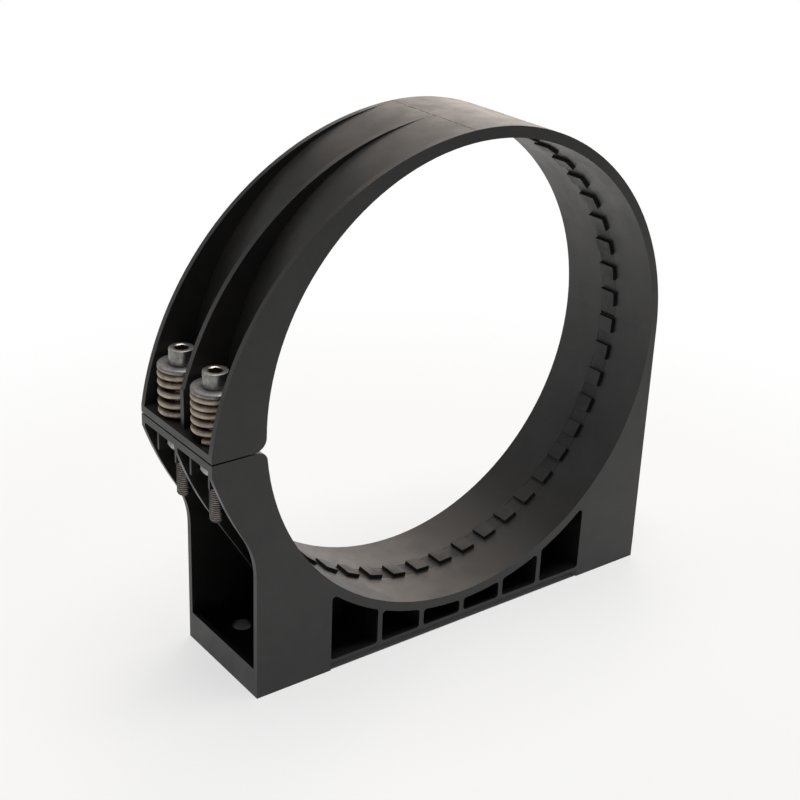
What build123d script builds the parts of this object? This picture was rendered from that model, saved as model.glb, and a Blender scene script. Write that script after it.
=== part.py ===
from build123d import *

import os
from math import atan2, cos, degrees, hypot, pi, radians, sin, sqrt

os.makedirs("parts", exist_ok=True)

# Pipe support clamp. X runs along the base, Y along the pipe, Z up.
# The origin is on the pipe's axis, at mid width. All sizes are in millimetres.

# Ring and pipe
bore_radius = 160.0
ring_width = 87.0
web = 4.0  # front and back walls, middle web, sills and gussets
pad_height = 2.5  # how far the grip pads stand in from the bore

# Clamping strap: a thin band over the right half, which thickens into the ribbed jaw
band_wall = 5.65  # at the flexure
band_shift_left = 1.1  # of the band's outer circle
band_shift_up = 0.9
jaw_floor_wall = 5.0  # channel floor beside the seam
fade_angle = 97.0  # where the jaw's webs run out into the band
flexure_gap = 0.05
seam_fillet = 8.0  # on the jaw's corner at the bore
base_seam_fillet = 6.4

# Flanges on the left
flange_reach = 37.5  # from the bore to the outer edge
flange_thickness = 5.0
seam_drop = 8.65  # seam below the pipe's axis
seam_gap = 1.0
flange_lip = 3.1  # depth of the upright edge below the base flange
middle_web_setback = 5.0
middle_web_shoulder = 25.0  # height of its upright part above the flange
middle_web_slope = 4.0  # run and rise of the shoulder's slope
middle_web_slope_rise = 6.0

# Base
base_ring_wall = 6.7
base_depth = 24.5  # from the bore's lowest point to the feet's soles
flank_margin = 7.0  # from the bore to the flanks
foot_width = 57.0
foot_rise = 5.5  # gap under the middle of the base
chamber_wall = 4.0
sill_height = 20.4
foot_floor = 10.0
flare_height = 80.0  # below the axis, where the flared wall meets the flank
flare_lean = 30.0  # degrees from upright
flare_run = 20.0
flare_fillet = 60.0
right_chamber_top = 62.0  # below the axis
gusset_rise = 10.0  # where the gussets start above the feet's floors
window_rib = 3.8
window_rib_pitch = 35.3
window_rib_count = 5
window_floor = 2.6
window_fillet = 2.5

# Foot screws: M12 through each foot's floor
foot_hole_diameter = 13.5
foot_hole_spacing = 45.0

# Grip strips: rubber, with a row of pads
strip_width = 14.0
strip_depth = 1.2  # how deep the strip lies in the bore
pad_pitch = 7.5  # degrees
pad_length = 11.0
pad_first = 5.0  # degrees, from the flexure
strip_gap = 0.05
flexure_margin = 0.3  # degrees, between a strip's end and the flexure
seam_margin = 1.0  # degrees, between a strip's end and the rounded seam corner

# Tightening screws: M10 x 90 socket heads over large washers and springs
screw_setout = 21.0  # from the bore to the screws' axes
screw_spacing = 40.8
screw_diameter = 10.0
screw_length = 90.0
head_diameter = 16.0
head_height = 10.0
head_chamfer = 0.8
thread_chamfer = 1.0
socket_across_flats = 8.0
socket_depth = 5.0
flange_hole_diameter = 12.0
washer_diameter = 30.0
washer_thickness = 2.5
washer_hole = 10.5
seat_gap = 0.05
spring_length = 30.5
spring_diameter = 30.4
spring_wire = 4.2
spring_pitch = 6.2
spring_start = {"front": 204.0, "back": 122.0}  # degrees, where each spring's wire begins
end_turn_gap = 0.1  # between the closed end turns
wire_sides = 8
points_per_turn = 13
nut_across_flats = 17.0
nut_height = 8.0
nut_running_gap = 0.05
nut_seat_depth = 4.2  # seat between the flange and the nut
pocket_wall = 2.0
pocket_skirt = 4.3  # pocket walls below the nut
pocket_gap = 0.3
pocket_reach = 3.3  # pocket walls beyond the nut's outer flat
nib_reach = 0.9  # snap nibs under the nut
nib_height = 2.2
nib_setback = 4.0  # from the pocket's outer edge
nib_length = 4.0

# Derived places
half_width = ring_width / 2
inner_half = half_width - web
flange_outer = -(bore_radius + flange_reach)
base_flange_top = -seam_drop - seam_gap / 2
base_flange_bottom = base_flange_top - flange_thickness
jaw_flange_bottom = -seam_drop + seam_gap / 2
jaw_flange_top = jaw_flange_bottom + flange_thickness
flank_x = bore_radius + flank_margin
sole_z = -(bore_radius + base_depth)
middle_sole_z = sole_z + foot_rise
foot_inner_x = flank_x - foot_width
chamber_inner_x = foot_inner_x + chamber_wall
foot_floor_z = sole_z + foot_floor
base_ring_radius = bore_radius + base_ring_wall
strip_radius = bore_radius + strip_depth
pad_radius = bore_radius - pad_height

screw_x = -(bore_radius + screw_setout)
screw_ys = (-screw_spacing / 2, screw_spacing / 2)
spring_bottom = jaw_flange_top + seat_gap
washer_bottom = spring_bottom + spring_length + seat_gap
washer_top = washer_bottom + washer_thickness
head_bottom = washer_top + seat_gap
nut_top = base_flange_bottom - nut_seat_depth
nut_bottom = nut_top - nut_height
nut_corner = nut_across_flats / sqrt(3)
pocket_half = nut_corner + pocket_gap
pocket_outer_x = screw_x - nut_across_flats / 2 - pocket_reach
pocket_end_x = screw_x + nut_across_flats / 2 + pocket_gap

# The band's outer circle is thicker towards the top left than at the flexure
band_centre = (-band_shift_left, band_shift_up)
band_radius = bore_radius + band_wall + band_shift_left
flexure_x = bore_radius + band_wall

# The jaw's web edge is an arc that leaves the band's outer circle at the fade angle
# and ends at the jaw flange's outer corner
fade_direction = (cos(radians(fade_angle)), sin(radians(fade_angle)))
corner_dx = flange_outer - band_centre[0]
corner_dz = jaw_flange_top - band_centre[1]
corner_along = corner_dx * fade_direction[0] + corner_dz * fade_direction[1]
jaw_arc_shift = (corner_dx**2 + corner_dz**2 - band_radius**2) / (2 * (band_radius - corner_along))
jaw_arc_radius = band_radius + jaw_arc_shift
jaw_arc_centre = (
    band_centre[0] - jaw_arc_shift * fade_direction[0],
    band_centre[1] - jaw_arc_shift * fade_direction[1],
)
fade_point = (
    band_centre[0] + band_radius * fade_direction[0],
    band_centre[1] + band_radius * fade_direction[1],
)

# The channel floor's circle is jaw_floor_wall thick at the seam and meets the band at the fade
floor_start = bore_radius + jaw_floor_wall
floor_shift = (hypot(*fade_point) - floor_start) / (1 + cos(radians(fade_angle)))
floor_radius = floor_start + floor_shift


def on_circle(centre, radius, angle):
    """The point of a circle at an angle in degrees, counted from +X."""
    return (centre[0] + radius * cos(radians(angle)), centre[1] + radius * sin(radians(angle)))


# Saddle base: one moulding with two box feet, a row of windows and the lower flange
lean = (-sin(radians(flare_lean)), cos(radians(flare_lean)))
flare_bottom = (-flank_x + flare_run * lean[0], -flare_height + flare_run * lean[1])
flare_top = (flange_outer, base_flange_bottom - flange_lip)

with BuildPart() as saddle_base:
    # Full outline of the side walls, less the bore
    with BuildSketch(Plane.XZ):
        with BuildLine():
            Polyline(
                flare_top,
                (flange_outer, base_flange_top),
                (0, base_flange_top),
                (0, -flexure_gap / 2),
                (flexure_x, -flexure_gap / 2),
                (flank_x, sole_z),
                (foot_inner_x, sole_z),
                (foot_inner_x, middle_sole_z),
                (-foot_inner_x, middle_sole_z),
                (-foot_inner_x, sole_z),
                (-flank_x, sole_z),
                (-flank_x, -flare_height),
                flare_bottom,
            )
            TangentArc(flare_bottom, flare_top, tangent=lean)
        make_face()
        Circle(bore_radius, mode=Mode.SUBTRACT)
    extrude(amount=half_width, both=True)
    flare_edge = saddle_base.edges().filter_by(Axis.Y).sort_by_distance((-flank_x, 0, -flare_height))[0]
    fillet(flare_edge, flare_fillet)
    seam_edge = saddle_base.edges().filter_by(Axis.Y).sort_by_distance((-bore_radius, 0, base_flange_top))[0]
    fillet(seam_edge, base_seam_fillet)

    # Left chamber, open at the flank, and right chamber, closed above by the ring
    with BuildSketch(Plane.XZ):
        with BuildLine():
            Polyline(
                (2 * flange_outer, base_flange_bottom),
                (-chamber_inner_x, base_flange_bottom),
                (-chamber_inner_x, foot_floor_z),
                (2 * flange_outer, foot_floor_z),
                close=True,
            )
        make_face()
        with BuildLine():
            Polyline(
                (chamber_inner_x, -right_chamber_top),
                (2 * flank_x, -right_chamber_top),
                (2 * flank_x, foot_floor_z),
                (chamber_inner_x, foot_floor_z),
                close=True,
            )
        make_face()
        Circle(base_ring_radius, mode=Mode.SUBTRACT)
    extrude(amount=inner_half, both=True, mode=Mode.SUBTRACT)

    # A sill closes the bottom of each chamber's mouth
    with BuildSketch(Plane.XY.offset(foot_floor_z)):
        with Locations((-flank_x + web / 2, 0), (flank_x - web / 2, 0)):
            Rectangle(web, ring_width)
    extrude(amount=sill_height - foot_floor)

    # Gussets in the middle plane carry the flange and stiffen the right foot
    with BuildSketch(Plane.XZ):
        with BuildLine():
            Polyline(
                flare_bottom,
                (-chamber_inner_x, foot_floor_z + gusset_rise),
                (-chamber_inner_x, base_flange_bottom),
                (flange_outer, base_flange_bottom),
                flare_top,
            )
            TangentArc(flare_bottom, flare_top, tangent=lean)
        make_face()
        with BuildLine():
            Polyline(
                (chamber_inner_x, foot_floor_z + gusset_rise),
                (flank_x - web / 2, -right_chamber_top),
                (chamber_inner_x, -right_chamber_top),
                close=True,
            )
        make_face()
        Circle(base_ring_radius - base_ring_wall / 2, mode=Mode.SUBTRACT)
    extrude(amount=web / 2, both=True)

    # Windows on both sides of the middle web
    outer_window_start = (window_rib_pitch * (window_rib_count - 1) + window_rib) / 2
    window_height = -middle_sole_z - window_floor
    for side in (1, -1):
        with BuildSketch(Plane.XZ.offset(side * half_width)):
            with Locations((0, (middle_sole_z + window_floor) / 2)):
                with GridLocations(window_rib_pitch, 0, window_rib_count - 1, 1):
                    Rectangle(window_rib_pitch - window_rib, window_height)
                with GridLocations(foot_inner_x + outer_window_start, 0, 2, 1):
                    Rectangle(foot_inner_x - outer_window_start, window_height)
            Circle(base_ring_radius, mode=Mode.SUBTRACT)
        window_cut = extrude(amount=-side * (half_width - web / 2), mode=Mode.PRIVATE)
        window_cut = window_cut.fillet(window_fillet, window_cut.edges().filter_by(Axis.Y))
        add(window_cut, mode=Mode.SUBTRACT)

    # Nut pockets: a seat under the flange between two thin walls, with nibs below the nut
    with BuildSketch(Plane.XY.offset(base_flange_bottom)):
        for y in screw_ys:
            with Locations(((pocket_outer_x - bore_radius - base_ring_wall / 2) / 2, y)):
                Rectangle(-pocket_outer_x - bore_radius - base_ring_wall / 2, 2 * (pocket_half + pocket_wall))
    extrude(amount=-(nut_seat_depth + nut_height + pocket_skirt))
    with BuildSketch(Plane.XY.offset(nut_top)):
        for y in screw_ys:
            with Locations(((pocket_outer_x + pocket_end_x) / 2, y)):
                Rectangle(pocket_end_x - pocket_outer_x, 2 * pocket_half)
    extrude(amount=-(nut_height + pocket_skirt), mode=Mode.SUBTRACT)
    for y in screw_ys:
        for side in (1, -1):
            nib_root = y + side * (pocket_half + pocket_wall / 2)
            nib_tip = y + side * (pocket_half - nib_reach)
            nib_top = nut_bottom - pocket_gap
            with BuildSketch(Plane.YZ.offset(pocket_outer_x + nib_setback)):
                with BuildLine():
                    Polyline(
                        (nib_root, nib_top),
                        (nib_tip, nib_top),
                        (nib_root, nib_top - nib_height),
                        close=True,
                    )
                make_face()
            extrude(amount=nib_length)

    # Screw clearance holes and foot screw holes
    with BuildSketch(Plane.XY.offset(base_flange_top)):
        for y in screw_ys:
            with Locations((screw_x, y)):
                Circle(flange_hole_diameter / 2)
    extrude(amount=-(flange_thickness + nut_seat_depth), mode=Mode.SUBTRACT)
    foot_hole_x = (chamber_inner_x + flank_x - web) / 2
    with BuildSketch(Plane.XY.offset(sole_z)):
        with GridLocations(2 * foot_hole_x, foot_hole_spacing, 2, 2):
            Circle(foot_hole_diameter / 2)
    extrude(amount=foot_floor, mode=Mode.SUBTRACT)

    # Groove for the grip strip
    with BuildSketch(Plane.XZ):
        Circle(strip_radius)
    extrude(amount=strip_width / 2, both=True, mode=Mode.SUBTRACT)
saddle_base.part.label = "saddle_base"


# Clamping strap: thin band on the right, ribbed jaw with its flange on the left
band_start_z = flexure_gap / 2
band_start_x = band_centre[0] + sqrt(band_radius**2 - (band_start_z - band_centre[1]) ** 2)
jaw_corner = (flange_outer, jaw_flange_top)
jaw_corner_angle = degrees(atan2(jaw_corner[1] - jaw_arc_centre[1], jaw_corner[0] - jaw_arc_centre[0]))
middle_web_x = flange_outer + middle_web_setback
shoulder_z = jaw_flange_top + middle_web_shoulder

with BuildPart() as clamping_strap:
    with BuildSketch(Plane.XZ):
        with BuildLine():
            Polyline(
                jaw_corner,
                (flange_outer, jaw_flange_bottom),
                (0, jaw_flange_bottom),
                (0, band_start_z),
                (band_start_x, band_start_z),
            )
            ThreePointArc(
                (band_start_x, band_start_z),
                on_circle(band_centre, band_radius, fade_angle / 2),
                fade_point,
            )
            ThreePointArc(
                fade_point,
                on_circle(jaw_arc_centre, jaw_arc_radius, (fade_angle + jaw_corner_angle) / 2),
                jaw_corner,
            )
        make_face()
        Circle(bore_radius, mode=Mode.SUBTRACT)
    extrude(amount=half_width, both=True)
    jaw_seam_edge = clamping_strap.edges().filter_by(Axis.Y)
    jaw_seam_edge = jaw_seam_edge.sort_by_distance((-bore_radius, 0, jaw_flange_bottom))[0]
    fillet(jaw_seam_edge, seam_fillet)

    # Channels between the webs, from the flange up to where the webs run out
    for y in (web / 2, -inner_half):
        with BuildSketch(Plane.XZ.offset(-y)):
            with BuildLine():
                Polyline(
                    (0, jaw_flange_top),
                    (2 * flange_outer, jaw_flange_top),
                    (2 * flange_outer, 2 * bore_radius),
                    (0, 2 * bore_radius),
                    close=True,
                )
            make_face()
            with Locations((floor_shift, 0)):
                Circle(floor_radius, mode=Mode.SUBTRACT)
        extrude(amount=-(inner_half - web / 2), mode=Mode.SUBTRACT)

    # The middle web ends in an upright edge behind the springs, with a sloped shoulder
    with BuildSketch(Plane.XZ):
        with BuildLine():
            Polyline(
                (middle_web_x, jaw_flange_top),
                (2 * flange_outer, jaw_flange_top),
                (2 * flange_outer, shoulder_z),
                (middle_web_x, shoulder_z),
                close=True,
            )
        make_face()
    extrude(amount=inner_half, both=True, mode=Mode.SUBTRACT)
    with BuildSketch(Plane.XZ):
        with BuildLine():
            Polyline(
                (middle_web_x, jaw_flange_top),
                (middle_web_x, shoulder_z),
                (middle_web_x + middle_web_slope, shoulder_z + middle_web_slope_rise),
                (middle_web_x + middle_web_slope, jaw_flange_top),
                close=True,
            )
        make_face()
    extrude(amount=web / 2, both=True)

    with BuildSketch(Plane.XY.offset(jaw_flange_bottom)):
        for y in screw_ys:
            with Locations((screw_x, y)):
                Circle(flange_hole_diameter / 2)
    extrude(amount=flange_thickness, mode=Mode.SUBTRACT)

    with BuildSketch(Plane.XZ):
        Circle(strip_radius)
    extrude(amount=strip_width / 2, both=True, mode=Mode.SUBTRACT)
clamping_strap.part.label = "clamping_strap"


# Grip strips: a rubber strip lies in each half's groove, with pads that press on the pipe
seam_angle = 180 + degrees(atan2(seam_drop, bore_radius))
seam_fillet_angle = degrees(seam_fillet / bore_radius)
strap_strip_range = (flexure_margin, seam_angle - seam_fillet_angle - seam_margin)
base_strip_range = (seam_angle + seam_fillet_angle + seam_margin, 360 - flexure_margin)
pad_half_angle = degrees(pad_length / 2 / bore_radius)
pad_angles = [pad_first + pad_pitch * n for n in range(int(360 / pad_pitch))]


grip_strips = []
for name, (strip_start, strip_end) in (
    ("strap_grip_strip", strap_strip_range),
    ("base_grip_strip", base_strip_range),
):
    sectors = [(strip_radius - strip_gap, bore_radius, strip_start, strip_end)]
    for angle in pad_angles:
        pad_start, pad_end = angle - pad_half_angle, angle + pad_half_angle
        if strip_start < pad_start and pad_end < strip_end:
            sectors.append((bore_radius + strip_depth / 2, pad_radius, pad_start, pad_end))
    with BuildPart() as grip_strip:
        with BuildSketch(Plane.XZ):
            for outer, inner, start, end in sectors:
                stops = (start, (start + end) / 2, end)
                with BuildLine():
                    outer_arc = ThreePointArc(*(on_circle((0, 0), outer, stop) for stop in stops))
                    inner_arc = ThreePointArc(*(on_circle((0, 0), inner, stop) for stop in stops))
                    Line(outer_arc @ 0, inner_arc @ 0)
                    Line(outer_arc @ 1, inner_arc @ 1)
                make_face()
        extrude(amount=strip_width / 2 - strip_gap, both=True)
    grip_strip.part.label = name
    grip_strips.append(grip_strip)


# Fasteners on each of the two screw axes
fasteners = []
for side, y in zip(("front", "back"), screw_ys):
    with BuildPart() as cap_screw:
        with BuildSketch(Plane.XY.offset(head_bottom)):
            with Locations((screw_x, y)):
                Circle(head_diameter / 2)
        extrude(amount=head_height)
        rim = cap_screw.edges().group_by(Axis.Z)[-1]
        chamfer(rim, head_chamfer)
        with BuildSketch(Plane.XY.offset(head_bottom)):
            with Locations((screw_x, y)):
                Circle(screw_diameter / 2)
        extrude(amount=-screw_length)
        chamfer(cap_screw.edges().group_by(Axis.Z)[0], thread_chamfer)
        with BuildSketch(Plane.XY.offset(head_bottom + head_height)):
            with Locations((screw_x, y)):
                RegularPolygon(socket_across_flats / 2, 6, major_radius=False)
        extrude(amount=-socket_depth, mode=Mode.SUBTRACT)
    cap_screw.part.label = side + "_cap_screw"

    with BuildPart() as washer:
        with BuildSketch(Plane.XY.offset(washer_bottom)):
            with Locations((screw_x, y)):
                Circle(washer_diameter / 2)
                Circle(washer_hole / 2, mode=Mode.SUBTRACT)
        extrude(amount=washer_thickness)
    washer.part.label = side + "_washer"

    # The spring's wire has closed end turns, a hair apart from their neighbours
    coil_radius = (spring_diameter - spring_wire / cos(pi / wire_sides)) / 2
    end_pitch = spring_wire + end_turn_gap
    active_turns = (spring_length - spring_wire - 2 * end_pitch) / spring_pitch
    spring_turns = active_turns + 2
    wire_steps = round(spring_turns * points_per_turn)
    wire_points = []
    for n in range(wire_steps + 1):
        turn = n * spring_turns / wire_steps
        closed = min(turn, 1) + max(turn - 1 - active_turns, 0)
        opened = min(max(turn - 1, 0), active_turns)
        around = 2 * pi * turn + radians(spring_start[side])
        wire_points.append(
            (
                screw_x + coil_radius * cos(around),
                y + coil_radius * sin(around),
                spring_bottom + spring_wire / 2 + end_pitch * closed + spring_pitch * opened,
            )
        )
    with BuildPart() as spring:
        with BuildLine() as wire:
            Polyline(*wire_points)
        with BuildSketch(Plane(origin=wire.line @ 0, z_dir=wire.line % 0, x_dir=Vector(0, 0, 1))):
            RegularPolygon(spring_wire / 2, wire_sides, major_radius=False, rotation=180 / wire_sides)
        sweep(path=wire.line, transition=Transition.RIGHT)
        # Both ends are ground flat
        split(bisect_by=Plane.XY.offset(spring_bottom), keep=Keep.TOP)
        split(bisect_by=Plane.XY.offset(spring_bottom + spring_length), keep=Keep.BOTTOM)
    spring.part.label = side + "_spring"

    with BuildPart() as nut:
        with BuildSketch(Plane.XY.offset(nut_bottom)):
            with Locations((screw_x, y)):
                RegularPolygon(nut_across_flats / 2, 6, major_radius=False, rotation=30)
                Circle(screw_diameter / 2 + nut_running_gap, mode=Mode.SUBTRACT)
        extrude(amount=nut_height)
    nut.part.label = side + "_nut"
    fasteners += [cap_screw, washer, spring, nut]


for piece in (saddle_base, clamping_strap, *grip_strips, *fasteners):
    export_step(piece.part, "parts/" + piece.part.label + ".step")
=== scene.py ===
from math import cos, pi, radians, sin, tan

import bpy
from mathutils import Matrix, Vector


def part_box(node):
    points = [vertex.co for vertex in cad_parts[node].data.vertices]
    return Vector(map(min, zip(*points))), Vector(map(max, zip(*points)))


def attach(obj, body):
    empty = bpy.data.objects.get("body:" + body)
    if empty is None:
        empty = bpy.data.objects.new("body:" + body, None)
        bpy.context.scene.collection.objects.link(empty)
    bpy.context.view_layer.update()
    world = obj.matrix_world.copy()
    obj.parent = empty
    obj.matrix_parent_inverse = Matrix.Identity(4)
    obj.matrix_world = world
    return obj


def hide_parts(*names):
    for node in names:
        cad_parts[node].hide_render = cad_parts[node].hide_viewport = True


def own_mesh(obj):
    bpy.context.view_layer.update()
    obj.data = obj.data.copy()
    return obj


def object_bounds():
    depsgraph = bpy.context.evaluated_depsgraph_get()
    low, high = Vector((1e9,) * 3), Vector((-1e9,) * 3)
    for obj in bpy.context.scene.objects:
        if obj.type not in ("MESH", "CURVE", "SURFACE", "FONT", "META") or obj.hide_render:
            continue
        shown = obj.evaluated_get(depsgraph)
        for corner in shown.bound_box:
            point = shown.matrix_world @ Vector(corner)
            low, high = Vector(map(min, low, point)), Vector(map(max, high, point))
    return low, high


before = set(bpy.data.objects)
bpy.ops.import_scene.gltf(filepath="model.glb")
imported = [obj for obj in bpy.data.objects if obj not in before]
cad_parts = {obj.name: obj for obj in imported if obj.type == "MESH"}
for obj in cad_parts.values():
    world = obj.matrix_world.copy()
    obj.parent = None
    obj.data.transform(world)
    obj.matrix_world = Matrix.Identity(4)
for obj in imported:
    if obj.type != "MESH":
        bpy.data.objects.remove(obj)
cad_box = [list(corner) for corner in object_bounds()]

# The camera stands at the photographer's place, a metre in front and to the left of the clamp,
# a little above it, and looks at a point near the middle of the bore.
camera_heading = radians(37.54)
camera_pitch = radians(24.51)
camera_roll = radians(2.47)
camera_distance = 0.9985
camera_aim = Vector((-0.0253, 0.0042, -0.0264))
camera_lens = 66.78

turn = (
    Matrix.Rotation(-camera_heading, 4, "Z")
    @ Matrix.Rotation(pi / 2 - camera_pitch, 4, "X")
    @ Matrix.Rotation(camera_roll, 4, "Z")
)
camera = bpy.data.objects.new("camera", bpy.data.cameras.new("camera"))
camera.data.lens = camera_lens
camera.data.clip_start = 0.01
camera.matrix_world = Matrix.Translation(camera_aim + turn @ Vector((0, 0, camera_distance))) @ turn
bpy.context.scene.collection.objects.link(camera)
bpy.context.scene.camera = camera
bpy.context.scene.view_settings.view_transform = "Standard"


# The studio floor is a wide sheet of white card under the feet. It takes the clamp's soft
# shadow near the feet, and further out it is as white as the wall behind it. Shiny parts
# mirror its whiteness near the clamp.
floor_size = 8.0
white_from = 0.30  # distances from the clamp's middle
white_at = 0.62
white_near = 0.68  # share of the card that shows white in the shadow too
mirrored_from = 0.6
mirrored_to = 1.2
mirrored_white = 0.5
feet_reach_x = 0.166
feet_reach_y = 0.0425


def adder(tree):
    """A function that adds a node to the tree, with its inputs by name or, as input_0, by number."""

    def add(kind, **inputs):
        node = tree.nodes.new(kind)
        for key, value in inputs.items():
            if key.startswith("input_"):
                target = node.inputs[int(key.removeprefix("input_"))]
            else:
                socket = key.replace("_", " ")
                target = node.inputs.get(socket) or node.inputs.get(socket.title())
            if target is None:
                setattr(node, key, value)
            elif isinstance(value, bpy.types.NodeSocket):
                tree.links.new(value, target)
            else:
                target.default_value = value
        return node

    return add


def new_material(name):
    """A material, its node tree, and the function that adds nodes to that."""
    material = bpy.data.materials.new(name)
    material.use_nodes = True
    return material, material.node_tree, adder(material.node_tree)


bpy.ops.object.select_all(action="DESELECT")
bpy.ops.mesh.primitive_plane_add(size=floor_size, location=(0, 0, cad_box[0][2]))
floor = bpy.context.object
floor.name = floor.data.name = "floor"
bpy.ops.object.transform_apply(location=True)

white_card, tree, add = new_material("white_card")
place = add("ShaderNodeTexCoord").outputs["Object"]
level = add("ShaderNodeVectorMath", operation="MULTIPLY", input_0=place, input_1=(1, 1, 0))
distance = add("ShaderNodeVectorMath", operation="LENGTH", input_0=level.outputs["Vector"])
whiteness = add(
    "ShaderNodeMapRange",
    Value=distance.outputs["Value"],
    From_Min=white_from,
    From_Max=white_at,
    To_Min=white_near,
    To_Max=1.0,
    interpolation_type="SMOOTHSTEP",
)
mirrored = add(
    "ShaderNodeMapRange",
    Value=distance.outputs["Value"],
    From_Min=mirrored_from,
    From_Max=mirrored_to,
    To_Min=mirrored_white,
    To_Max=0.0,
    interpolation_type="SMOOTHSTEP",
)
# Under the clamp the card is only as light as what falls on it
from_feet = add(
    "ShaderNodeVectorMath",
    operation="DIVIDE",
    input_0=level.outputs["Vector"],
    input_1=(feet_reach_x, feet_reach_y, 1),
)
folded = add("ShaderNodeVectorMath", operation="ABSOLUTE", input_0=from_feet.outputs["Vector"])
reaches = add("ShaderNodeSeparateXYZ", Vector=folded.outputs["Vector"])
farther = add(
    "ShaderNodeMath",
    operation="MAXIMUM",
    input_0=reaches.outputs["X"],
    input_1=reaches.outputs["Y"],
)
uncovered = add("ShaderNodeMath", operation="GREATER_THAN", input_0=farther.outputs["Value"], input_1=1.0)
shown = add(
    "ShaderNodeMath",
    operation="MULTIPLY",
    input_0=uncovered.outputs["Value"],
    input_1=whiteness.outputs["Result"],
)
rays = add("ShaderNodeLightPath")
in_view = add(
    "ShaderNodeMath",
    operation="MULTIPLY",
    input_0=rays.outputs["Is Camera Ray"],
    input_1=shown.outputs["Value"],
)
by_mirror = add(
    "ShaderNodeMath",
    operation="MAXIMUM",
    input_0=rays.outputs["Is Glossy Ray"],
    input_1=rays.outputs["Is Transmission Ray"],
)
in_mirror = add(
    "ShaderNodeMath",
    operation="MULTIPLY",
    input_0=by_mirror.outputs["Value"],
    input_1=mirrored.outputs["Result"],
)
white_share = add(
    "ShaderNodeMath",
    operation="MAXIMUM",
    input_0=in_view.outputs["Value"],
    input_1=in_mirror.outputs["Value"],
)
glow = add("ShaderNodeEmission", Color=(1, 1, 1, 1), Strength=1.0)
card_shader = tree.nodes["Principled BSDF"]
card_shader.inputs["Base Color"].default_value = (0.8, 0.8, 0.8, 1)
card_shader.inputs["Roughness"].default_value = 0.9
card_mix = add(
    "ShaderNodeMixShader",
    input_0=white_share.outputs["Value"],
    input_1=card_shader.outputs["BSDF"],
    input_2=glow.outputs["Emission"],
)
tree.links.new(card_mix.outputs["Shader"], tree.nodes["Material Output"].inputs["Surface"])
floor.data.materials.append(white_card)


# Soft studio light: a large box overhead, a low one at the right rear that skims over the band
# with a weak one above it, and one at the left rear that shines into the channels. The white
# walls glow evenly, and only near the horizon are they mirrored.
wall_light = 0.12
mirrored_below = 0.1  # rise of the direction in which a shiny part looks


def soft_box(name, position, size, power, colour=(1, 1, 1)):
    """A square lamp that faces the clamp."""
    lamp = bpy.data.objects.new(name, bpy.data.lights.new(name, "AREA"))
    lamp.data.size = size
    lamp.data.energy = power
    lamp.data.color = colour
    lamp.location = position
    lamp.rotation_euler = (-Vector(position)).to_track_quat("-Z", "Y").to_euler()
    bpy.context.scene.collection.objects.link(lamp)


soft_box("overhead_box", (0.16, 0.0, 1.79), size=1.2, power=34, colour=(1.0, 0.97, 0.95))
soft_box("rear_box", (1.21, 1.21, 0.40), size=1.05, power=5.5, colour=(1.0, 0.88, 0.78))
soft_box("high_rear_box", (0.65, 1.27, 1.07), size=1.3, power=4.7, colour=(1.0, 0.90, 0.82))
soft_box("left_rear_box", (-1.1, 1.2, 0.80), size=1.5, power=3)

world = bpy.data.worlds.new("studio")
bpy.context.scene.world = world
world.use_nodes = True
walls = world.node_tree
add = adder(walls)
wall_glow = walls.nodes["Background"]
wall_glow.inputs["Color"].default_value = (1, 1, 1, 1)
wall_glow.inputs["Strength"].default_value = wall_light
wall_white = add("ShaderNodeBackground", Color=(1, 1, 1, 1), Strength=1.0)
rays = add("ShaderNodeLightPath")
heading = add("ShaderNodeTexCoord")
rise = add("ShaderNodeSeparateXYZ", Vector=heading.outputs["Generated"])
near_horizon = add(
    "ShaderNodeMath",
    operation="LESS_THAN",
    input_0=rise.outputs["Z"],
    input_1=mirrored_below,
)
by_mirror = add(
    "ShaderNodeMath",
    operation="MAXIMUM",
    input_0=rays.outputs["Is Glossy Ray"],
    input_1=rays.outputs["Is Transmission Ray"],
)
in_mirror = add(
    "ShaderNodeMath",
    operation="MULTIPLY",
    input_0=by_mirror.outputs["Value"],
    input_1=near_horizon.outputs["Value"],
)
white_share = add(
    "ShaderNodeMath",
    operation="MAXIMUM",
    input_0=rays.outputs["Is Camera Ray"],
    input_1=in_mirror.outputs["Value"],
)
wall_mix = add(
    "ShaderNodeMixShader",
    input_0=white_share.outputs["Value"],
    input_1=wall_glow.outputs["Background"],
    input_2=wall_white.outputs["Background"],
)
walls.links.new(wall_mix.outputs["Shader"], walls.nodes["World Output"].inputs["Surface"])


# Both mouldings, the saddle base and the clamping strap, are black polyamide with a fine
# spark-eroded grain. Each comes out of its mould with slightly rounded edges. The strap has a
# fine parting line across it, where the mould's insert for the ribbed jaw ends.
moulding_edge_round = 0.0006
sharp_edge_angle = radians(28)
flat_within = radians(0.4)
same_place = 1e-6  # points closer than this are one
cut_threshold = 1e-7  # and points this near a cut lie on it
bend_from_x = 0.15
bend_halfgap = 0.0004
plastic_dark = (0.0085, 0.0082, 0.0082, 1)
plastic_pale = (0.0205, 0.019, 0.018, 1)
parting_line_x = -0.0127
parting_line_width = 0.0009
parting_line_above = 0.150


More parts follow.
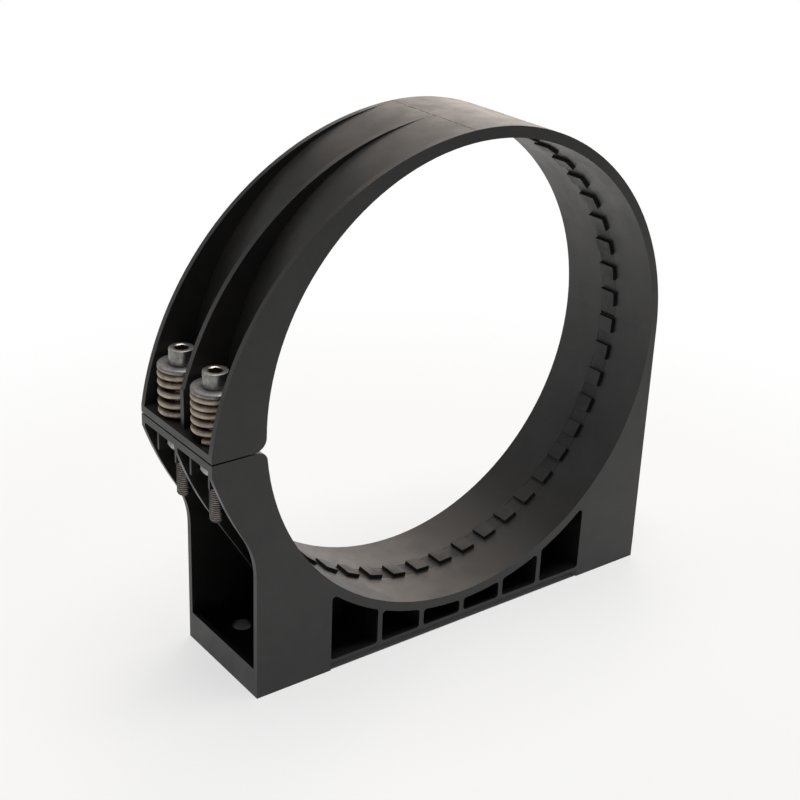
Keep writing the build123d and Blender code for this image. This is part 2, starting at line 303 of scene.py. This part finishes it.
def finished_copy(node_name, piece_name, edge_round):
    """A merged copy of a node's mesh with its sharp edges rounded, which stands for the node."""
    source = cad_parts[node_name]
    piece = source.copy()
    piece.data = source.data.copy()
    piece.name = piece.data.name = piece_name
    piece.data.materials.clear()
    piece.parent = None
    for key in list(piece.keys()):
        del piece[key]
    bpy.context.scene.collection.objects.link(piece)
    bpy.ops.object.select_all(action="DESELECT")
    piece.select_set(True)
    bpy.context.view_layer.objects.active = piece
    bpy.ops.object.mode_set(mode="EDIT")
    bpy.ops.mesh.select_mode(type="VERT")
    bpy.ops.mesh.select_all(action="SELECT")
    bpy.ops.mesh.remove_doubles(threshold=same_place)
    bpy.ops.mesh.dissolve_limited(angle_limit=flat_within)
    bpy.ops.mesh.select_all(action="DESELECT")
    bpy.ops.mesh.select_mode(type="EDGE")
    bpy.ops.mesh.edges_select_sharp(sharpness=sharp_edge_angle)
    bpy.ops.object.mode_set(mode="OBJECT")
    # Where the two halves run into each other at the bend, the real moulding has no edge
    weights = piece.data.attributes.new("bevel_weight_edge", "FLOAT", "EDGE")
    for edge in piece.data.edges:
        ends = [piece.data.vertices[n].co for n in edge.vertices]
        at_bend = all(end.x > bend_from_x and abs(end.z) < bend_halfgap for end in ends)
        weights.data[edge.index].value = 1.0 if edge.select and not at_bend else 0.0
    rounding = piece.modifiers.new("rounding", "BEVEL")
    rounding.width = edge_round
    rounding.segments = 2
    rounding.limit_method = "WEIGHT"
    rounding.miter_outer = "MITER_ARC"
    bpy.ops.object.modifier_apply(modifier="rounding")
    bpy.ops.object.shade_smooth_by_angle(angle=sharp_edge_angle)
    evening = piece.modifiers.new("evening", "WEIGHTED_NORMAL")
    evening.keep_sharp = True
    evening.weight = 100
    bpy.ops.object.modifier_apply(modifier="evening")
    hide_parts(node_name)
    return piece


black_plastic, tree, add = new_material("black_plastic")
place = add("ShaderNodeTexCoord").outputs["Object"]
clouds = add("ShaderNodeTexNoise", Vector=place, Scale=16.0, Detail=9.0, Roughness=0.78)
tone = add("ShaderNodeValToRGB", Fac=clouds.outputs["Fac"])
tone.color_ramp.elements[0].position = 0.32
tone.color_ramp.elements[0].color = plastic_dark
tone.color_ramp.elements[1].position = 0.74
tone.color_ramp.elements[1].color = plastic_pale
patches = add("ShaderNodeTexNoise", Vector=place, Scale=55.0, Detail=4.0, Roughness=0.6)
gloss = add(
    "ShaderNodeMapRange",
    Value=patches.outputs["Fac"],
    From_Min=0.3,
    From_Max=0.7,
    To_Min=0.33,
    To_Max=0.45,
)
# The parting line shows on the strap's upper side alone, and fades in and out along its length
parts = add("ShaderNodeSeparateXYZ", Vector=place)
beside = add("ShaderNodeMath", operation="SUBTRACT", input_0=parts.outputs["X"], input_1=parting_line_x)
off_line = add("ShaderNodeMath", operation="ABSOLUTE", input_0=beside.outputs["Value"])
on_line = add(
    "ShaderNodeMapRange",
    Value=off_line.outputs["Value"],
    From_Min=0.0,
    From_Max=parting_line_width,
    To_Min=1.0,
    To_Max=0.0,
    interpolation_type="SMOOTHSTEP",
)
on_top = add(
    "ShaderNodeMath",
    operation="GREATER_THAN",
    input_0=parts.outputs["Z"],
    input_1=parting_line_above,
)
stipple = add("ShaderNodeTexNoise", Vector=place, Scale=420.0, Detail=1.0)
dots = add(
    "ShaderNodeMapRange",
    Value=stipple.outputs["Fac"],
    From_Min=0.38,
    From_Max=0.55,
    To_Min=0.25,
    To_Max=1.0,
)
line = add(
    "ShaderNodeMath",
    operation="MULTIPLY",
    input_0=on_line.outputs["Result"],
    input_1=on_top.outputs["Value"],
)
dotted_line = add(
    "ShaderNodeMath",
    operation="MULTIPLY",
    input_0=line.outputs["Value"],
    input_1=dots.outputs["Result"],
)
grain = add("ShaderNodeTexNoise", Vector=place, Scale=1400.0, Detail=2.0)
surface = add(
    "ShaderNodeMath",
    operation="SUBTRACT",
    input_0=grain.outputs["Fac"],
    input_1=dotted_line.outputs["Value"],
)
grain_bump = add("ShaderNodeBump", Height=surface.outputs["Value"], Strength=0.3, Distance=0.00022)
dull_line = add(
    "ShaderNodeMath",
    operation="MAXIMUM",
    input_0=gloss.outputs["Result"],
    input_1=dotted_line.outputs["Value"],
)
plastic_shader = tree.nodes["Principled BSDF"]
tree.links.new(tone.outputs["Color"], plastic_shader.inputs["Base Color"])
tree.links.new(dull_line.outputs["Value"], plastic_shader.inputs["Roughness"])
tree.links.new(grain_bump.outputs["Normal"], plastic_shader.inputs["Normal"])
plastic_shader.inputs["IOR"].default_value = 1.5

for node_name, body in (("saddle_base", "base"), ("clamping_strap", "strap")):
    moulding = finished_copy(node_name, node_name + "_moulding", moulding_edge_round)
    moulding.data.materials.append(black_plastic)
    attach(moulding, body)


# The grip strips are black rubber, pressed into the bore's groove in two lengths, with their pads
# moulded in one with them. The pads' faces are glossier than their flanks, and the flanks are painted darker,
# as painted shade.
strip_edge_round = 0.00035
# Painted shade colour for the pads' flanks, and the lighter colour of the pads' faces
rubber_flank_shade = (0.0025, 0.0025, 0.0027, 1)
rubber_pad_face = (0.013, 0.0125, 0.0125, 1)

grip_rubber, tree, add = new_material("grip_rubber")
place = add("ShaderNodeTexCoord").outputs["Object"]
upright = add("ShaderNodeVectorMath", operation="MULTIPLY", input_0=place, input_1=(1, 0, 1))
outward = add("ShaderNodeVectorMath", operation="NORMALIZE", input_0=upright.outputs["Vector"])
facing = add("ShaderNodeNewGeometry")
toward_pipe = add(
    "ShaderNodeVectorMath",
    operation="DOT_PRODUCT",
    input_0=facing.outputs["Normal"],
    input_1=outward.outputs["Vector"],
)
face_share = add(
    "ShaderNodeMapRange",
    Value=toward_pipe.outputs["Value"],
    From_Min=-0.85,
    From_Max=-0.35,
    To_Min=1.0,
    To_Max=0.0,
)
wear = add("ShaderNodeTexNoise", Vector=place, Scale=70.0, Detail=4.0)
wear_share = add(
    "ShaderNodeMapRange",
    Value=wear.outputs["Fac"],
    From_Min=0.25,
    From_Max=0.6,
    To_Min=0.6,
    To_Max=1.0,
)
face_gloss_and_flank_shade = add(
    "ShaderNodeMath",
    operation="MULTIPLY",
    input_0=face_share.outputs["Result"],
    input_1=wear_share.outputs["Result"],
)
# Painted shade: flanks that face along the bore get the dark colour, and faces toward the pipe get the
# lighter one
tone = add("ShaderNodeValToRGB", Fac=face_gloss_and_flank_shade.outputs["Value"])
tone.color_ramp.elements[0].color = rubber_flank_shade
tone.color_ramp.elements[1].color = rubber_pad_face
gloss = add("ShaderNodeMapRange", Value=face_gloss_and_flank_shade.outputs["Value"], To_Min=0.95, To_Max=0.46)
rubber_grain = add("ShaderNodeTexNoise", Vector=place, Scale=1100.0, Detail=2.0)
rubber_bump = add("ShaderNodeBump", Height=rubber_grain.outputs["Fac"], Strength=0.25, Distance=0.0002)
rubber_shader = tree.nodes["Principled BSDF"]
tree.links.new(tone.outputs["Color"], rubber_shader.inputs["Base Color"])
tree.links.new(gloss.outputs["Result"], rubber_shader.inputs["Roughness"])
tree.links.new(rubber_bump.outputs["Normal"], rubber_shader.inputs["Normal"])

for node_name, body in (("base_grip_strip", "base"), ("strap_grip_strip", "strap")):
    strip = finished_copy(node_name, node_name + "_pads", strip_edge_round)
    strip.data.materials.append(grip_rubber)
    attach(strip, body)


# Two M10 hexagon nuts of zinc-plated steel sit in the pockets under the lower flange. Each is a
# turned blank with chamfered faces and hole mouths, cut to six flats.
nut_across_flats = 0.017
nut_height = 0.008
nut_corner = nut_across_flats / 2 / cos(pi / 6)
nut_bearing_radius = 0.0081
nut_hole_radius = 0.00505
nut_hole_mouth = 0.0056
nut_chamfer = (nut_corner - nut_bearing_radius) * tan(radians(30))
screw_axis_x = -0.181
screw_setout_y = 0.0204
zinc_pale = (0.47, 0.46, 0.44, 1)
zinc_grey = (0.20, 0.195, 0.19, 1)
# Painted shade for the screws' sockets and thread grooves, and the width over which it fades out
socket_shade_tint = (0.48, 0.43, 0.39, 1)
socket_shade_fade = 0.0004


def drawn(name, outline):
    """An outline of (radius, height) points beside the Z axis, drawn as a chain of edges."""
    bpy.ops.object.select_all(action="DESELECT")
    bpy.ops.mesh.primitive_plane_add(size=0.001)
    chain = bpy.context.object
    chain.name = chain.data.name = name
    bpy.ops.object.mode_set(mode="EDIT")
    # Only in vertex mode does the merged point stay selected, to be drawn out
    bpy.ops.mesh.select_mode(type="VERT")
    bpy.ops.mesh.select_all(action="SELECT")
    bpy.ops.mesh.merge(type="CENTER")
    bpy.ops.transform.translate(value=(outline[0][0], 0, outline[0][1]))
    for (radius, height), (next_radius, next_height) in zip(outline, outline[1:]):
        step = (next_radius - radius, 0, next_height - height)
        bpy.ops.mesh.extrude_vertices_move(TRANSFORM_OT_translate={"value": step})
    bpy.ops.object.mode_set(mode="OBJECT")
    return chain


def turned(name, outline, steps):
    """A closed solid turned about the Z axis from its outline."""
    blank = drawn(name, outline)
    bpy.ops.object.mode_set(mode="EDIT")
    bpy.ops.mesh.select_all(action="SELECT")
    bpy.ops.mesh.spin(steps=steps, angle=2 * pi, center=(0, 0, 0), axis=(0, 0, 1))
    bpy.ops.mesh.select_all(action="SELECT")
    bpy.ops.mesh.remove_doubles(threshold=same_place)
    bpy.ops.mesh.normals_make_consistent(inside=False)
    bpy.ops.object.mode_set(mode="OBJECT")
    return blank


def on_both_axes(pattern, kind, bodies):
    """A copy of the pattern on each screw's axis, at the height of the node that it stands for."""
    for side, body in zip(("front", "back"), bodies):
        node_name = side + "_" + kind
        low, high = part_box(node_name)
        piece = pattern.copy()
        piece.data = pattern.data.copy()
        piece.name = piece.data.name = node_name + "_finished"
        middle = ((low[0] + high[0]) / 2, (low[1] + high[1]) / 2, low[2])
        piece.data.transform(Matrix.Translation(middle))
        bpy.context.scene.collection.objects.link(piece)
        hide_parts(node_name)
        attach(piece, body)
    bpy.data.objects.remove(pattern, do_unlink=True)


def plated_steel(name, pale, grey, blotch_scale, roughest, smoothest, shaded_within=0):
    """Zinc plate: cloudy grey with fine specks, and sheen that differs from patch to patch.
    Within a radius of the screws' axes, in the sockets and thread grooves, painted shade darkens it."""
    material, tree, add = new_material(name)
    place = add("ShaderNodeTexCoord").outputs["Object"]
    blotches = add("ShaderNodeTexNoise", Vector=place, Scale=blotch_scale, Detail=6.0, Roughness=0.65)
    specks = add("ShaderNodeTexNoise", Vector=place, Scale=2600.0, Detail=2.0, Roughness=0.6)
    both = add(
        "ShaderNodeMath",
        operation="ADD",
        input_0=blotches.outputs["Fac"],
        input_1=specks.outputs["Fac"],
    )
    share = add("ShaderNodeMath", operation="MULTIPLY", input_0=both.outputs["Value"], input_1=0.5)
    tone = add("ShaderNodeValToRGB", Fac=share.outputs["Value"])
    tone.color_ramp.elements[0].position = 0.38
    tone.color_ramp.elements[0].color = grey
    tone.color_ramp.elements[1].position = 0.62
    tone.color_ramp.elements[1].color = pale
    sheen = add(
        "ShaderNodeMapRange",
        Value=blotches.outputs["Fac"],
        From_Min=0.3,
        From_Max=0.7,
        To_Min=roughest,
        To_Max=smoothest,
    )
    bump = add("ShaderNodeBump", Height=specks.outputs["Fac"], Strength=0.25, Distance=0.0001)
    shader = tree.nodes["Principled BSDF"]
    shader.inputs["Metallic"].default_value = 1.0
    colour = tone.outputs["Color"]
    if shaded_within:
        both_sides = add("ShaderNodeVectorMath", operation="ABSOLUTE", input_0=place)
        from_screw = add(
            "ShaderNodeVectorMath",
            operation="SUBTRACT",
            input_0=both_sides.outputs["Vector"],
            input_1=(-screw_axis_x, screw_setout_y, 0),
        )
        level = add(
            "ShaderNodeVectorMath",
            operation="MULTIPLY",
            input_0=from_screw.outputs["Vector"],
            input_1=(1, 1, 0),
        )
        radius = add("ShaderNodeVectorMath", operation="LENGTH", input_0=level.outputs["Vector"])
        unshaded = add(
            "ShaderNodeMapRange",
            Value=radius.outputs["Value"],
            From_Min=shaded_within,
            From_Max=shaded_within + socket_shade_fade,
        )
        # Painted shade: inside the radius the colour is multiplied by the shade tint
        socket_shade = add("ShaderNodeValToRGB", Fac=unshaded.outputs["Result"])
        socket_shade.color_ramp.elements[0].color = socket_shade_tint
        socket_shade.color_ramp.elements[1].color = (1, 1, 1, 1)
        shaded_colour = add(
            "ShaderNodeMix",
            data_type="RGBA",
            blend_type="MULTIPLY",
            Factor=1.0,
            input_6=colour,
            input_7=socket_shade.outputs["Color"],
        )
        colour = shaded_colour.outputs[2]
    tree.links.new(colour, shader.inputs["Base Color"])
    tree.links.new(sheen.outputs["Result"], shader.inputs["Roughness"])
    tree.links.new(bump.outputs["Normal"], shader.inputs["Normal"])
    return material


nut_outline = (
    (nut_hole_radius, nut_hole_mouth - nut_hole_radius),
    (nut_hole_mouth, 0),
    (nut_bearing_radius, 0),
    (nut_corner, nut_chamfer),
    (nut_corner, nut_height - nut_chamfer),
    (nut_bearing_radius, nut_height),
    (nut_hole_mouth, nut_height),
    (nut_hole_radius, nut_height - (nut_hole_mouth - nut_hole_radius)),
    (nut_hole_radius, nut_hole_mouth - nut_hole_radius),
)
nut = turned("nut_pattern", nut_outline, 96)
bpy.ops.object.mode_set(mode="EDIT")
for flat in range(6):
    across = Vector((cos(flat * pi / 3), sin(flat * pi / 3), 0))
    bpy.ops.mesh.select_all(action="SELECT")
    bpy.ops.mesh.bisect(
        plane_co=across * nut_across_flats / 2,
        plane_no=across,
        use_fill=True,
        clear_outer=True,
        threshold=cut_threshold,
    )
bpy.ops.object.mode_set(mode="OBJECT")
bpy.ops.object.shade_smooth_by_angle(angle=sharp_edge_angle)
nut.data.materials.append(
    plated_steel("plated_nut", zinc_pale, zinc_grey, blotch_scale=300.0, roughest=0.5, smoothest=0.34)
)
on_both_axes(nut, "nut", ("base", "base"))


# Two compression springs of round zinc-plated wire stand on the jaw's flange, wound right-handed
# with closed ends. The front one is turned so that its lower wire end shows at the left.
spring_wire = 0.0042
spring_outside = 0.0304
wire_steps = 48  # in each turn
wire_end_round = 0.0003
wire_end_angle = radians(50)
wire_warm = (0.56, 0.50, 0.42, 1)
# The brown serves both the film's random stains and the painted shade between the turns
wire_brown = (0.24, 0.17, 0.11, 1)
# Each spring's first direction in degrees, and its wire's height in mm at turns counted from there
spring_rises = {
    "front": (
        204,
        (
            (0, -1.0),
            (0.08, -0.95),
            (1.08, 4.45),
            (2.08, 10.6),
            (3.08, 16.0),
            (4.08, 20.5),
            (4.25, 21.0),
            (5.0, 25.2),
            (5.25, 25.25),
        ),
    ),
    "back": (
        122,
        (
            (0, -1.0),
            (0.31, 0.5),
            (1.31, 6.3),
            (2.31, 13.2),
            (3.31, 19.8),
            (4.31, 24.9),
            (4.55, 25.25),
        ),
    ),
}

spring_steel, tree, add = new_material("spring_wire")
place = add("ShaderNodeTexCoord").outputs["Object"]
film = add("ShaderNodeTexNoise", Vector=place, Scale=170.0, Detail=5.0, Roughness=0.6)
facing = add("ShaderNodeNewGeometry")
parts = add("ShaderNodeSeparateXYZ", Vector=facing.outputs["Normal"])
steepness = add("ShaderNodeMath", operation="ABSOLUTE", input_0=parts.outputs["Z"])
# Painted shade: the wire's upper and lower sides, which face the neighbouring turns, are painted browner
coil_gap_shade = add(
    "ShaderNodeMapRange",
    Value=steepness.outputs["Value"],
    From_Min=0.35,
    From_Max=0.95,
    To_Min=0.0,
    To_Max=0.35,
)
film_and_coil_shade = add(
    "ShaderNodeMath",
    operation="SUBTRACT",
    input_0=film.outputs["Fac"],
    input_1=coil_gap_shade.outputs["Result"],
)
tone = add("ShaderNodeValToRGB", Fac=film_and_coil_shade.outputs["Value"])
tone.color_ramp.elements[0].position = 0.15
tone.color_ramp.elements[0].color = wire_brown
tone.color_ramp.elements[1].position = 0.6
tone.color_ramp.elements[1].color = wire_warm
draw_marks = add("ShaderNodeTexNoise", Vector=place, Scale=1800.0, Detail=2.0)
wire_bump = add("ShaderNodeBump", Height=draw_marks.outputs["Fac"], Strength=0.25, Distance=0.0001)
wire_shader = tree.nodes["Principled BSDF"]
wire_shader.inputs["Metallic"].default_value = 0.55
wire_shader.inputs["Roughness"].default_value = 0.48
tree.links.new(tone.outputs["Color"], wire_shader.inputs["Base Color"])
tree.links.new(wire_bump.outputs["Normal"], wire_shader.inputs["Normal"])

for side, (first_direction, rises) in spring_rises.items():
    node_name = side + "_spring"
    coil_radius = (spring_outside - spring_wire) / 2
    middle_y = screw_setout_y if side == "back" else -screw_setout_y
    last_turn = rises[-1][0]
    steps = round(last_turn * wire_steps)
    coil = bpy.data.curves.new(node_name + "_wire", "CURVE")
    coil.dimensions = "3D"
    coil.bevel_depth = spring_wire / 2
    coil.bevel_resolution = 6
    coil.use_fill_caps = True
    wire = coil.splines.new("POLY")
    wire.points.add(steps)
    for n, point in enumerate(wire.points):
        along = last_turn * n / steps
        for (turn_0, height_0), (turn_1, height_1) in zip(rises, rises[1:]):
            if along <= turn_1:
                break
        height = height_0 + (height_1 - height_0) * (along - turn_0) / (turn_1 - turn_0)
        direction = radians(first_direction) + 2 * pi * along
        point.co = (
            screw_axis_x + coil_radius * cos(direction),
            middle_y + coil_radius * sin(direction),
            height / 1000,
            1,
        )
    spring = bpy.data.objects.new(node_name + "_finished", coil)
    bpy.context.scene.collection.objects.link(spring)
    bpy.ops.object.select_all(action="DESELECT")
    spring.select_set(True)
    bpy.context.view_layer.objects.active = spring
    bpy.ops.object.convert(target="MESH")
    spring = bpy.context.object
    spring.name = spring.data.name = node_name + "_finished"
    bpy.ops.object.mode_set(mode="EDIT")
    bpy.ops.mesh.select_all(action="SELECT")
    bpy.ops.mesh.remove_doubles(threshold=same_place)
    bpy.ops.mesh.normals_make_consistent(inside=False)
    bpy.ops.object.mode_set(mode="OBJECT")
    end_rounding = spring.modifiers.new("end_rounding", "BEVEL")
    end_rounding.width = wire_end_round
    end_rounding.segments = 2
    end_rounding.limit_method = "ANGLE"
    end_rounding.angle_limit = wire_end_angle
    bpy.ops.object.modifier_apply(modifier="end_rounding")
    bpy.ops.object.shade_smooth_by_angle(angle=wire_end_angle)
    spring.data.materials.clear()
    spring.data.materials.append(spring_steel)
    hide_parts(node_name)
    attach(spring, "strap")
    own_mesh(spring)


# Two large flat washers, punched from plate and zinc plated, lie on the springs. The punch leaves
# their upper edges rolled and their lower edges sharp.
washer_radius = 0.015
washer_hole_radius = 0.00525
washer_thickness = 0.0025
washer_roll = 0.0006
washer_burr = 0.0001
washer_edge_angle = radians(50)
washer_pale = (0.36, 0.35, 0.34, 1)
washer_grey = (0.17, 0.165, 0.16, 1)

washer_outline = (
    (washer_hole_radius, 0),
    (washer_radius - washer_burr, 0),
    (washer_radius, washer_burr),
    (washer_radius, washer_thickness - washer_roll),
    (washer_radius - washer_roll * 0.3, washer_thickness - washer_roll * 0.3),
    (washer_radius - washer_roll, washer_thickness),
    (washer_hole_radius + washer_roll, washer_thickness),
    (washer_hole_radius + washer_roll * 0.3, washer_thickness - washer_roll * 0.3),
    (washer_hole_radius, washer_thickness - washer_roll),
    (washer_hole_radius, 0),
)
washer = turned("washer_pattern", washer_outline, 128)
bpy.ops.object.shade_smooth_by_angle(angle=washer_edge_angle)
washer.data.materials.append(
    plated_steel("plated_washer", washer_pale, washer_grey, blotch_scale=220.0, roughest=0.62, smoothest=0.42)
)
on_both_axes(washer, "washer", ("front_washer_set", "back_washer_set"))


# Two M10 x 90 socket head cap screws of zinc-plated steel, fully threaded, go down through washer,
# spring and both flanges into the nuts. The head is cold-headed and turned, its hexagon punched,
# and the thread rolled.
head_radius = 0.008
head_height = 0.010
head_rim = 0.0008
socket_across_flats = 0.008
socket_depth = 0.005
shank_length = 0.090
thread_radius = 0.00498
thread_root_radius = 0.00408
thread_pitch = 0.0015
neck_length = 0.004
tip_height = 0.0013
thread_steps = 32
sliver_width = 8e-6
screw_edge_angle = radians(25)
# Radius around each screw's axis inside which painted shade darkens the plating
socket_shade_radius = 0.0043
head_break = 0.0004
socket_cone_inset = 0.0025
socket_cone_depth = 0.001
mouth_depth = 0.0006
mouth_flare = 0.0012
cut_clearance = 0.0001
thread_clearance = 0.0002

head_outline = (
    (0, shank_length + head_height),
    (head_radius - head_rim, shank_length + head_height),
    (head_radius - head_rim * 0.25, shank_length + head_height - head_rim * 0.3),
    (head_radius, shank_length + head_height - head_rim),
    (head_radius, shank_length + head_break),
    (head_radius - head_break, shank_length),
    (thread_radius + head_break, shank_length),
    (thread_radius, shank_length - head_break),
    (thread_radius, shank_length - neck_length),
    (0, shank_length - neck_length),
)
tip_outline = (
    (0, 0),
    (thread_root_radius - cut_clearance, 0),
    (thread_radius + thread_clearance, tip_height),
    (thread_radius + thread_clearance, shank_length - neck_length / 2),
    (0, shank_length - neck_length / 2),
)
thread_outline = (
    (thread_root_radius, 0),
    (thread_root_radius, thread_pitch / 4),
    (thread_radius, thread_pitch * 9 / 16),
    (thread_radius, thread_pitch * 11 / 16),
    (thread_root_radius, thread_pitch),
)


def worked(piece, tool, operation):
    """The piece cut by, joined to or trimmed to the tool, which is used up."""
    work = piece.modifiers.new("work", "BOOLEAN")
    work.object = tool
    work.operation = operation
    work.solver = "EXACT"
    bpy.ops.object.select_all(action="DESELECT")
    piece.select_set(True)
    bpy.context.view_layer.objects.active = piece
    bpy.ops.object.modifier_apply(modifier="work")
    bpy.data.objects.remove(tool, do_unlink=True)


# The thread is one pitch of its outline, wound up the shank and cut level at both ends
thread = drawn("thread_pattern", thread_outline)
thread.data.transform(Matrix.Translation((0, 0, -2 * thread_pitch)))
winding = thread.modifiers.new("winding", "SCREW")
winding.axis = "Z"
winding.angle = 2 * pi
winding.screw_offset = thread_pitch
winding.iterations = round(shank_length / thread_pitch) + 2
winding.steps = winding.render_steps = thread_steps
winding.use_merge_vertices = True
winding.merge_threshold = same_place
bpy.ops.object.modifier_apply(modifier="winding")
bpy.ops.object.mode_set(mode="EDIT")
for level, keep_above in ((cut_clearance, True), (shank_length - neck_length / 2, False)):
    bpy.ops.mesh.select_all(action="SELECT")
    bpy.ops.mesh.bisect(
        plane_co=(0, 0, level),
        plane_no=(0, 0, 1),
        use_fill=True,
        clear_inner=keep_above,
        clear_outer=not keep_above,
        threshold=cut_threshold,
    )
bpy.ops.mesh.select_all(action="SELECT")
bpy.ops.mesh.remove_doubles(threshold=same_place)
bpy.ops.mesh.normals_make_consistent(inside=False)
bpy.ops.object.mode_set(mode="OBJECT")
worked(thread, turned("tip_pattern", tip_outline, thread_steps * 2), "INTERSECT")

# The punch for the socket is a hexagonal bar with a cone at its end
bpy.ops.object.select_all(action="DESELECT")
bpy.ops.mesh.primitive_cylinder_add(
    vertices=6,
    radius=socket_across_flats / 2 / cos(pi / 6),
    depth=2 * socket_depth,
    location=(0, 0, shank_length + head_height),
    rotation=(0, 0, pi / 6),
)
punch = bpy.context.object
bpy.ops.object.transform_apply(location=True, rotation=True)
for face in punch.data.polygons:
    face.select = face.normal.z < -0.9
bpy.ops.object.mode_set(mode="EDIT")
bpy.ops.mesh.select_mode(type="FACE")
bpy.ops.mesh.inset(thickness=socket_cone_inset)
bpy.ops.transform.translate(value=(0, 0, -socket_cone_depth))
bpy.ops.mesh.select_mode(type="VERT")
bpy.ops.object.mode_set(mode="OBJECT")
mouth_outline = (
    (0, shank_length + head_height - mouth_depth),
    (socket_across_flats / 2, shank_length + head_height - mouth_depth),
    (socket_across_flats / 2 + mouth_flare, shank_length + head_height + cut_clearance),
    (0, shank_length + head_height + cut_clearance),
)

screw = turned("screw_pattern", head_outline, 96)
worked(screw, punch, "DIFFERENCE")
worked(screw, turned("mouth_pattern", mouth_outline, 48), "DIFFERENCE")
worked(screw, thread, "UNION")
# The cuts leave slivers a few thousandths of a millimetre wide, which are merged away
bpy.ops.object.mode_set(mode="EDIT")
bpy.ops.mesh.select_all(action="SELECT")
bpy.ops.mesh.remove_doubles(threshold=sliver_width)
bpy.ops.object.mode_set(mode="OBJECT")
bpy.ops.object.shade_smooth_by_angle(angle=screw_edge_angle)
screw.data.materials.clear()
screw.data.materials.append(
    plated_steel(
        "plated_screw",
        zinc_pale,
        zinc_grey,
        blotch_scale=350.0,
        roughest=0.46,
        smoothest=0.3,
        shaded_within=socket_shade_radius,
    )
)
on_both_axes(screw, "cap_screw", ("front_screw", "back_screw"))
